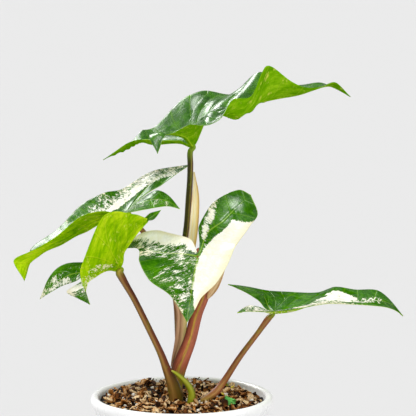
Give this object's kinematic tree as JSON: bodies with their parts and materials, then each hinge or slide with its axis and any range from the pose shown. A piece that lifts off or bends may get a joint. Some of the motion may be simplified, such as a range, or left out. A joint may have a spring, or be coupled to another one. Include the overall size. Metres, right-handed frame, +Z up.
{
  "type": "potted arrowhead plant",
  "caption": "Arrowhead vine with variegated, arrow-shaped leaves on long arching stalks, growing in a bark mix in a round white plastic pot.",
  "frame": {"origin": "centre of the pot's foot, on the surface the pot stands on", "axes": "+Z up along the pot's axis; the side the picture shows faces -Y; +X to the right in that view"},
  "size_m": [0.2545, 0.1228, 0.3269],
  "materials": {
    "pot": "satin",
    "soil": "matte",
    "crown": "matte",
    "leaf": "gloss",
    "stalk": "satin",
    "sheath": "satin",
    "root": "satin",
    "moss": "matte",
    "bark": "matte",
    "perlite": "matte"
  },
  "bodies": {
    "root": {"pot": "pot", "potting_mix": "soil", "crown": "crown", "leaf_top": "leaf", "leaf_back": "leaf", "leaf_front": "leaf", "leaf_centre": "leaf", "leaf_right": "leaf", "stalk_top": "stalk", "stalk_back": "stalk", "stalk_front": "stalk", "stalk_centre": "stalk", "stalk_right": "stalk", "sheath_top": "sheath", "sheath_left": "sheath", "sheath_centre": "sheath", "aerial_root": "root", "sprout": "root", "moss": "moss", "bark_01": "bark", "bark_02": "bark", "bark_03": "bark", "bark_04": "bark", "bark_05": "bark", "bark_06": "bark", "bark_07": "bark", "bark_08": "bark", "bark_09": "bark", "bark_10": "bark", "bark_11": "bark", "bark_12": "bark", "bark_13": "bark", "bark_14": "bark", "bark_15": "bark", "bark_16": "bark", "perlite_1": "perlite", "perlite_2": "perlite", "perlite_3": "perlite", "perlite_4": "perlite", "perlite_5": "perlite", "perlite_6": "perlite", "perlite_7": "perlite", "perlite_8": "perlite"}
  },
  "joints": []
}
